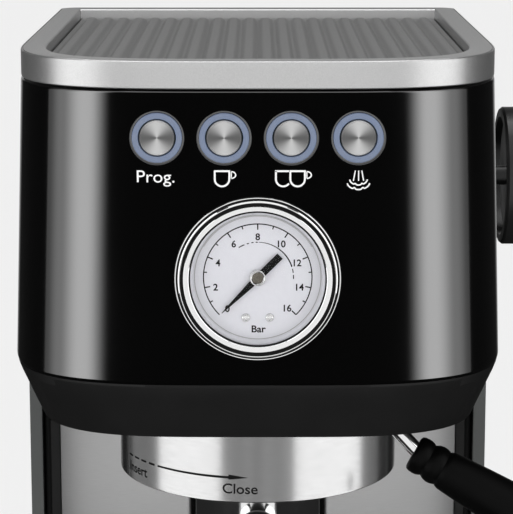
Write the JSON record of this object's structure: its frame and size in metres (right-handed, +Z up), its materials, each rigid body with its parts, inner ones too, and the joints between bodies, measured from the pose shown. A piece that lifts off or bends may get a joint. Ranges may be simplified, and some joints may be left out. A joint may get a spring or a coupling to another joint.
{
  "type": "espresso machine",
  "caption": "Compact upright espresso machine with a gauge, lit push-buttons, a locking portafilter, a ball-jointed steam wand, a drip tray and a rear water tank.",
  "frame": {"origin": "on the table, under the middle of the body, between the four rubber feet", "axes": "+Z up, -Y out of the front towards the person using it, +X to the right as seen from the front, the side of the steam knob"},
  "size_m": [0.2748, 0.3994, 0.33],
  "materials": {
    "gloss_black": "high gloss black",
    "matt_black": "fine matt black",
    "satin_silver": "satin silver with a very fine grain",
    "shelf_grey": "satin grey, ribbed",
    "panel_grey": "satin dark grey",
    "trim_dark": "matt dark",
    "brushed_steel": "brushed along the grain",
    "spun_steel": "spun in circles about the centre",
    "chrome": "polished",
    "pressed_steel": "pressed stainless sheet",
    "sheet_steel": "zinc plated sheet",
    "fastener_steel": "plated",
    "rubber_black": "satin rubber",
    "dial_white": "printed enamel",
    "needle_black": "satin black",
    "lens_glass": "clear",
    "light_ring": "translucent, blue-grey",
    "knob_black": "satin black",
    "cast_aluminium": "as cast",
    "brass": "turned",
    "circuit_green": "solder mask",
    "silicone": "translucent silicone",
    "coil_black": "moulded",
    "pump_white": "moulded nylon",
    "tank_smoke": "smoky clear plastic",
    "float_red": "moulded"
  },
  "bodies": {
    "root": {"base_tub": "matt_black", "base_plate": "matt_black", "feet": "rubber_black", "screws": "fastener_steel", "side_panel_left": "panel_grey", "side_panel_right": "panel_grey", "pillar_trim_left": "trim_dark", "pillar_trim_right": "trim_dark", "splash_panel": "brushed_steel", "rear_panel": "matt_black", "head_shell": "gloss_black", "head_underside": "matt_black", "top_rim": "satin_silver", "cup_plate": "shelf_grey", "gauge_case": "coil_black", "gauge_bezel": "chrome", "gauge_dial": "dial_white", "gauge_lens": "lens_glass", "light_rings": "light_ring", "trim_rings": "chrome", "switch_board": "circuit_green", "group_collar": "brushed_steel", "group_head": "cast_aluminium", "group_gasket": "rubber_black", "shower_screen": "pressed_steel", "thermoblock": "cast_aluminium", "pump": "pump_white", "pump_mounts": "rubber_black", "solenoid_valve": "coil_black", "flow_meter": "pump_white", "water_hoses": "silicone", "pressure_pipes": "brass", "control_board": "circuit_green", "chassis": "sheet_steel", "tank_dock": "knob_black", "cord_gland": "rubber_black", "rocker_frame": "knob_black", "steam_valve": "brass"},
    "tray": {"drip_tray": "matt_black", "tray_front": "matt_black"},
    "grid": {"drip_grid": "brushed_steel"},
    "float": {"tray_float": "float_red"},
    "tank": {"water_tank": "tank_smoke"},
    "lid": {"tank_lid": "matt_black"},
    "valve": {"tank_valve": "pump_white"},
    "prog_button": {"button_prog": "spun_steel"},
    "single_button": {"button_single": "spun_steel"},
    "double_button": {"button_double": "spun_steel"},
    "steam_button": {"button_steam": "spun_steel"},
    "needle": {"gauge_needle": "needle_black"},
    "knob": {"steam_knob": "knob_black"},
    "wand_swivel": {"wand_socket": "knob_black"},
    "wand": {"wand_tube": "chrome", "wand_grip": "rubber_black", "wand_tip": "chrome"},
    "rocker": {"power_rocker": "knob_black"},
    "portafilter": {"portafilter_body": "chrome", "portafilter_handle": "knob_black", "portafilter_spout": "chrome", "filter_basket": "pressed_steel"}
  },
  "joints": [
    {"name": "prog_press", "type": "slide", "parent": "root", "child": "prog_button", "axis": [0, 1, 0], "range_m": [0, 0.0015], "stiffness_N_per_m": 600, "springref_m": -0.001},
    {"name": "single_press", "type": "slide", "parent": "root", "child": "single_button", "axis": [0, 1, 0], "range_m": [0, 0.0015], "stiffness_N_per_m": 600, "springref_m": -0.001},
    {"name": "double_press", "type": "slide", "parent": "root", "child": "double_button", "axis": [0, 1, 0], "range_m": [0, 0.0015], "stiffness_N_per_m": 600, "springref_m": -0.001},
    {"name": "steam_press", "type": "slide", "parent": "root", "child": "steam_button", "axis": [0, 1, 0], "range_m": [0, 0.0015], "stiffness_N_per_m": 600, "springref_m": -0.001},
    {"name": "needle_turn", "type": "hinge", "parent": "root", "child": "needle", "pos_m": [0, -0.1575, 0.243], "axis": [0, 1, 0], "range_deg": [0, 270], "stiffness_Nm_per_rad": 0.0005, "springref_deg": -17.19},
    {"name": "knob_turn", "type": "hinge", "parent": "root", "child": "knob", "pos_m": [0.1024, -0.0975, 0.275], "axis": [1, 0, 0], "range_deg": [-90, 90]},
    {"name": "wand_turn", "type": "hinge", "parent": "root", "child": "wand_swivel", "pos_m": [0.051, -0.1175, 0.178], "axis": [0, 0, 1], "range_deg": [-70, 25]},
    {"name": "wand_tilt", "type": "hinge", "parent": "wand_swivel", "child": "wand", "pos_m": [0.051, -0.1175, 0.178], "axis": [0.2079, 0.9781, 0], "range_deg": [0, 25]},
    {"name": "tray_slide", "type": "slide", "parent": "root", "child": "tray", "axis": [0, -1, 0], "range_m": [0, 0.14]},
    {"name": "grid_lift", "type": "slide", "parent": "tray", "child": "grid", "axis": [0, 0, 1], "range_m": [0, 0.04]},
    {"name": "float_rise", "type": "slide", "parent": "tray", "child": "float", "axis": [0, 0, 1], "range_m": [0, 0.01]},
    {"name": "tank_lift", "type": "slide", "parent": "root", "child": "tank", "axis": [0, 0, 1], "range_m": [0, 0.08]},
    {"name": "lid_hinge", "type": "hinge", "parent": "tank", "child": "lid", "pos_m": [0, 0.0985, 0.2985], "axis": [1, 0, 0], "range_deg": [0, 90]},
    {"name": "valve_open", "type": "slide", "parent": "tank", "child": "valve", "axis": [0, 0, 1], "range_m": [0, 0.002], "stiffness_N_per_m": 150, "springref_m": -0.002},
    {"name": "rocker_tilt", "type": "hinge", "parent": "root", "child": "rocker", "pos_m": [0.06, 0.1555, 0.028], "axis": [1, 0, 0], "range_deg": [-16, 0]},
    {"name": "portafilter_lock", "type": "hinge", "parent": "root", "child": "portafilter", "pos_m": [0, -0.0795, 0.15], "axis": [0, 0, 1], "range_deg": [-45, 0]}
  ]
}
